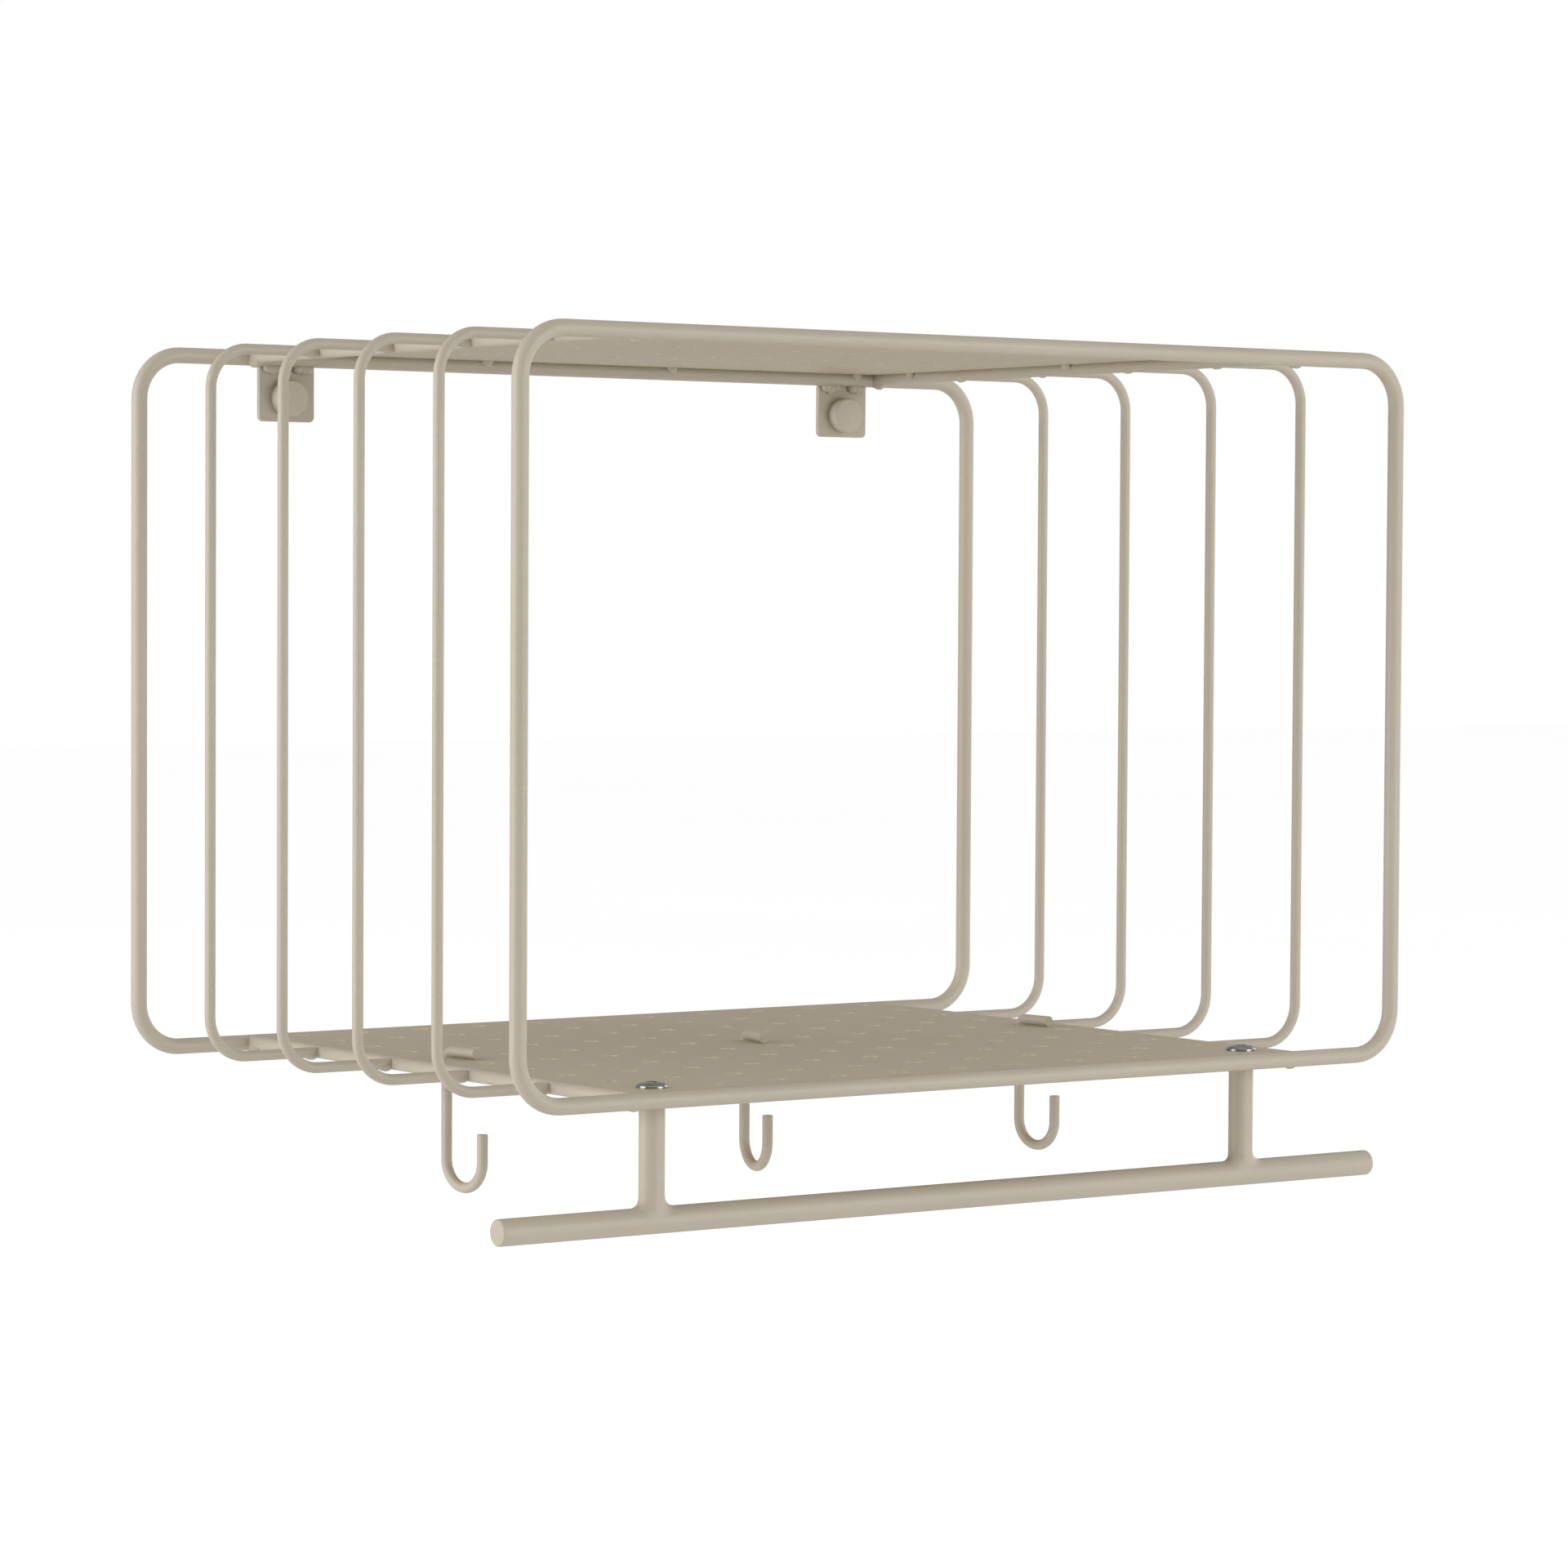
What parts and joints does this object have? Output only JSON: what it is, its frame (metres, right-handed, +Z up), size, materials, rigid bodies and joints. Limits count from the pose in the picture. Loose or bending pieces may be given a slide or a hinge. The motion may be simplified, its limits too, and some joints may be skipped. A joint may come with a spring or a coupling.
{
  "type": "hanging file rack",
  "caption": "Wall-hung wire rack with a perforated shelf at top and bottom, open front and sides of bent wire, swivelling hooks and a hanging rail below.",
  "frame": {"origin": "midway between the two wall-screw holes, on the wall plane", "axes": "+X to the right seen from the front, +Y into the wall, +Z up; the rack reaches out to -Y"},
  "size_m": [0.4, 0.2735, 0.3139],
  "materials": {
    "powder_coated_steel": "satin",
    "zinc_plated_steel": "bright",
    "cap_plastic": "satin"
  },
  "bodies": {
    "frame": {"front_loop": "powder_coated_steel", "rear_loop": "powder_coated_steel", "top_rod_left": "powder_coated_steel", "top_rod_right": "powder_coated_steel", "bottom_rod_left": "powder_coated_steel", "bottom_rod_right": "powder_coated_steel", "side_wire_left_1": "powder_coated_steel", "side_wire_left_2": "powder_coated_steel", "side_wire_left_3": "powder_coated_steel", "side_wire_left_4": "powder_coated_steel", "side_wire_right_1": "powder_coated_steel", "side_wire_right_2": "powder_coated_steel", "side_wire_right_3": "powder_coated_steel", "side_wire_right_4": "powder_coated_steel", "top_shelf": "powder_coated_steel", "bottom_shelf": "powder_coated_steel", "top_shelf_welds": "powder_coated_steel", "bottom_shelf_welds": "powder_coated_steel", "wall_tab_left": "powder_coated_steel", "wall_tab_right": "powder_coated_steel", "tab_welds": "powder_coated_steel", "rail_bar": "powder_coated_steel", "rail_post_left": "powder_coated_steel", "rail_post_right": "powder_coated_steel", "rail_screw_left": "zinc_plated_steel", "rail_screw_right": "zinc_plated_steel"},
    "hook_left": {"hook_left": "powder_coated_steel"},
    "hook_middle": {"hook_middle": "powder_coated_steel"},
    "hook_right": {"hook_right": "powder_coated_steel"},
    "cover_cap_left": {"cover_cap_left": "cap_plastic"},
    "cover_cap_right": {"cover_cap_right": "cap_plastic"}
  },
  "joints": [
    {"name": "hook_left_swivel", "type": "hinge", "parent": "frame", "child": "hook_left", "pos_m": [-0.13397, -0.12305, -0.2455], "axis": [0, 0, 1], "continuous": true},
    {"name": "hook_middle_swivel", "type": "hinge", "parent": "frame", "child": "hook_middle", "pos_m": [-0.00022, -0.12305, -0.2455], "axis": [0, 0, 1], "continuous": true},
    {"name": "hook_right_swivel", "type": "hinge", "parent": "frame", "child": "hook_right", "pos_m": [0.13353, -0.12305, -0.2455], "axis": [0, 0, 1], "continuous": true},
    {"name": "cover_cap_left_pull", "type": "slide", "parent": "frame", "child": "cover_cap_left", "axis": [0, -1, 0], "range_m": [0, 0.02]},
    {"name": "cover_cap_right_pull", "type": "slide", "parent": "frame", "child": "cover_cap_right", "axis": [0, -1, 0], "range_m": [0, 0.02]}
  ]
}
